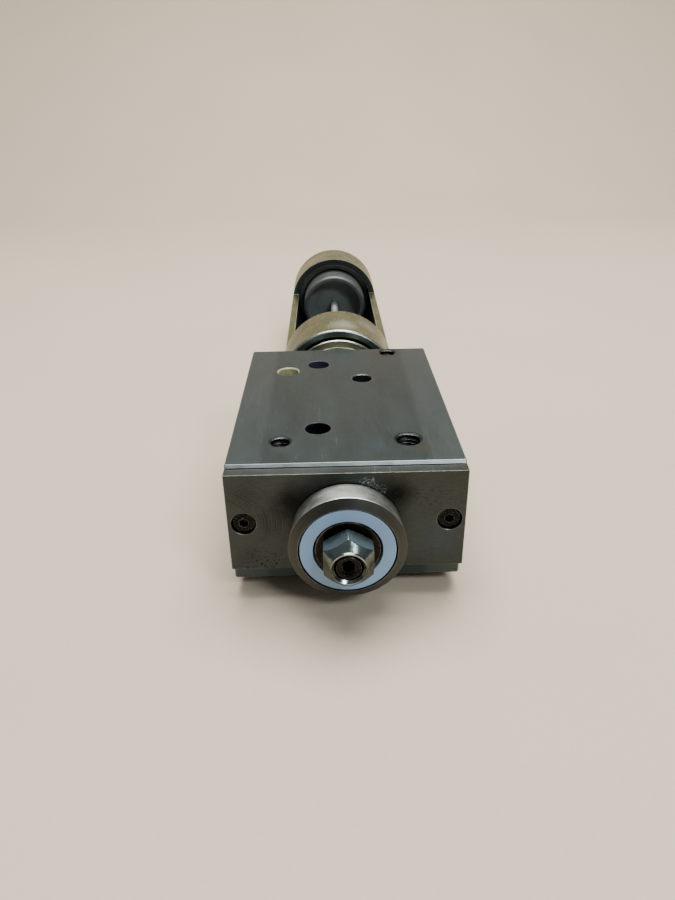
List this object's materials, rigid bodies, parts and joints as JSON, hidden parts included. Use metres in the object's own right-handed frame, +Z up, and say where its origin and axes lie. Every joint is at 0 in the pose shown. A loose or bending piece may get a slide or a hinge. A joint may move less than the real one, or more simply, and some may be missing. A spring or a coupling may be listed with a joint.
{
  "type": "hydraulic monoblock valve",
  "caption": "Steel spool valve in one ground block with a ported top face, a tappet with lock nut in front and a long windowed guard tube with push rod and plunger behind.",
  "frame": {"origin": "middle of the footprint, at the height of the lowest point", "axes": "+Z up out of the ported face, +Y along the valve's axis from the tappet to the guard tube's end, +X to the right seen from the tappet"},
  "size_m": [0.05, 0.2084, 0.036],
  "materials": {
    "ground_steel": "ground, oiled",
    "dark_steel": "milled, browned",
    "turned_steel": "fine turned",
    "black_steel": "black oxide, satin",
    "zinc": "bright zinc plate",
    "yellow_zinc": "yellow passivated zinc plate",
    "bright_steel": "ground and polished",
    "pale_nylon": "turned plastic",
    "black_rubber": "moulded nitrile"
  },
  "bodies": {
    "housing": {"valve_body": "ground_steel", "end_plate": "dark_steel", "end_plate_screw_left": "black_steel", "end_plate_screw_right": "black_steel", "front_collar": "turned_steel", "collar_oring": "black_rubber", "tappet_seal": "black_rubber", "guide_ring": "pale_nylon", "rear_neck": "yellow_zinc", "neck_oring": "black_rubber", "stem_seal": "black_rubber", "seal_retainer": "turned_steel", "rear_housing": "yellow_zinc", "end_guide": "black_steel", "end_circlip": "black_steel", "return_spring": "bright_steel"},
    "spool_train": {"tappet_piston": "turned_steel", "spool": "bright_steel", "stop_washer": "turned_steel", "stop_circlip": "black_steel", "push_rod": "bright_steel", "rod_jam_nut": "zinc", "plunger": "black_steel"},
    "lock_nut": {"lock_nut": "zinc"},
    "adjusting_screw": {"adjusting_screw": "black_steel"}
  },
  "joints": [
    {"name": "spool_slide", "type": "slide", "parent": "housing", "child": "spool_train", "axis": [0, 1, 0], "range_m": [0, 0.004], "stiffness_N_per_m": 2000, "springref_m": -0.006, "deforming": ["return_spring"]},
    {"name": "lock_nut_turn", "type": "hinge", "parent": "spool_train", "child": "lock_nut", "pos_m": [0, -0.1012, 0.018], "axis": [0, 1, 0], "range_deg": [-180, 0]},
    {"name": "adjusting_screw_turn", "type": "hinge", "parent": "spool_train", "child": "adjusting_screw", "pos_m": [0, -0.0952, 0.018], "axis": [0, 1, 0], "range_deg": [-360, 360]}
  ]
}
